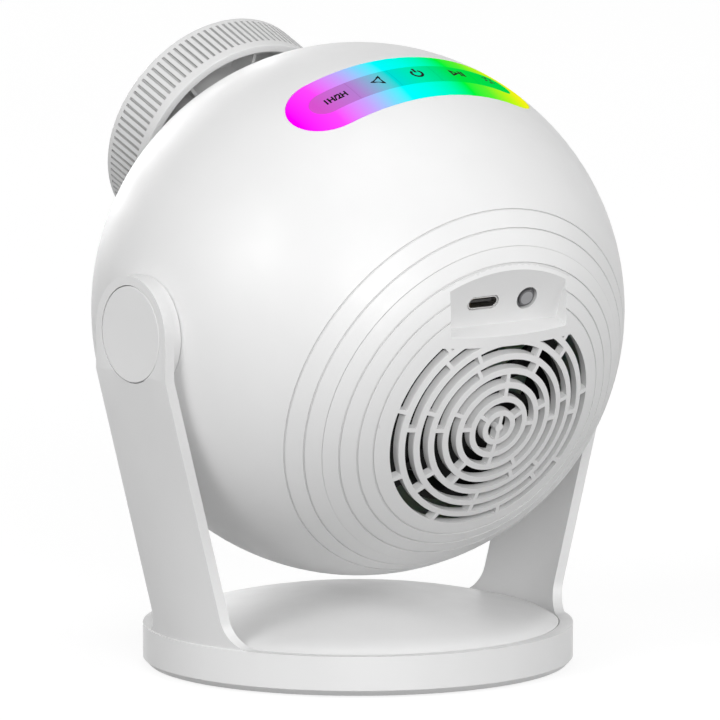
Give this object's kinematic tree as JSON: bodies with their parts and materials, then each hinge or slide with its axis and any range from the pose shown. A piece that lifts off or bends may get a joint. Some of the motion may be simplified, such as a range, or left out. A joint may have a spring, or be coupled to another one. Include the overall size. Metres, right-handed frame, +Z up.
{
  "type": "planetarium projector",
  "caption": "Home planetarium projector: ball housing with knurled focus ring, lit touch strip and rear fan grille, tilting in a fork stand on a round base.",
  "frame": {"origin": "centre of the flat underside of the base, on the table", "axes": "+Z up, the tilt axis along X, the lens towards -Y and tilted 20.8 degrees up at rest, the fan grille towards +Y"},
  "size_m": [0.1368, 0.136, 0.1527],
  "materials": {
    "shell_white": "satin moulded plastic",
    "ring_white": "fine-textured moulded plastic",
    "black_plastic": "moulded plastic",
    "grey_plastic": "moulded plastic",
    "nylon": "natural nylon",
    "translucent": "translucent acrylic, lit from below",
    "key_panel": "translucent key panel, lit from below",
    "pad_rubber": "matt",
    "steel": "bright",
    "bright_metal": "plated",
    "aluminium": "plain",
    "circuit_board": "solder resist",
    "lens_glass": "polished",
    "star_film": "printed film on glass",
    "brass": "machined",
    "lamp_yellow": "phosphor"
  },
  "bodies": {
    "base": {"stand_yoke": "shell_white", "base_dome": "shell_white", "base_plate": "shell_white", "ballast_plate": "steel", "foot_pad": "pad_rubber", "base_screws": "steel", "pivot_caps": "shell_white", "pivot_pins": "steel", "pivot_washers": "nylon", "pivot_nuts": "steel"},
    "ball": {"ball_shell": "shell_white", "rear_cover": "shell_white", "front_bezel": "black_plastic", "optics_frame": "black_plastic", "frame_screws": "steel", "fan_frame": "black_plastic", "fan_screws": "steel", "main_board": "circuit_board", "board_chips": "black_plastic", "usb_socket": "bright_metal", "tact_switch": "black_plastic", "light_guide": "translucent", "touch_panel": "key_panel", "touch_board": "circuit_board", "strip_leds": "lamp_yellow", "condenser_lens": "lens_glass", "led_board": "aluminium", "led_emitter": "lamp_yellow", "heat_sink": "aluminium", "heat_sink_screws": "steel", "drive_motor": "steel"},
    "focus": {"focus_ring": "ring_white"},
    "barrel": {"lens_barrel": "black_plastic", "lens_front": "lens_glass", "lens_rear": "lens_glass", "lens_retainer": "black_plastic"},
    "disc": {"disc_carrier": "nylon", "star_disc": "star_film", "disc_clip": "steel"},
    "pinion": {"drive_pinion": "brass", "motor_shaft": "steel"},
    "fan": {"fan_impeller": "black_plastic"},
    "button": {"push_button": "grey_plastic"}
  },
  "joints": [
    {"name": "ball_tilt", "type": "hinge", "parent": "base", "child": "ball", "pos_m": [0, 0, 0.0874], "axis": [1, 0, 0], "range_deg": [-170, 60]},
    {"name": "focus_turn", "type": "hinge", "parent": "ball", "child": "focus", "pos_m": [0, 0.00472, 0.09983], "axis": [0, -0.9348, 0.3551], "range_deg": [-60, 60]},
    {"name": "barrel_slide", "type": "slide", "parent": "ball", "child": "barrel", "axis": [0, -0.9348, 0.3551], "range_m": [-0.0021, 0.0021]},
    {"name": "disc_spin", "type": "hinge", "parent": "ball", "child": "disc", "pos_m": [0, 0.00472, 0.09983], "axis": [0, -0.9348, 0.3551], "continuous": true},
    {"name": "pinion_spin", "type": "hinge", "parent": "ball", "child": "pinion", "pos_m": [0, -0.00593, 0.07179], "axis": [0, -0.9348, 0.3551], "continuous": true},
    {"name": "fan_spin", "type": "hinge", "parent": "ball", "child": "fan", "pos_m": [0, 0, 0.0874], "axis": [0, -0.9348, 0.3551], "continuous": true},
    {"name": "button_press", "type": "slide", "parent": "ball", "child": "button", "axis": [0, -0.9348, 0.3551], "range_m": [0, 0.0004], "stiffness_N_per_m": 400, "springref_m": -0.002}
  ],
  "couplings": [
    {"joint": "barrel_slide", "follows": "focus_turn", "m_per_rad": 0.0019},
    {"joint": "pinion_spin", "follows": "disc_spin", "ratio": -4}
  ]
}
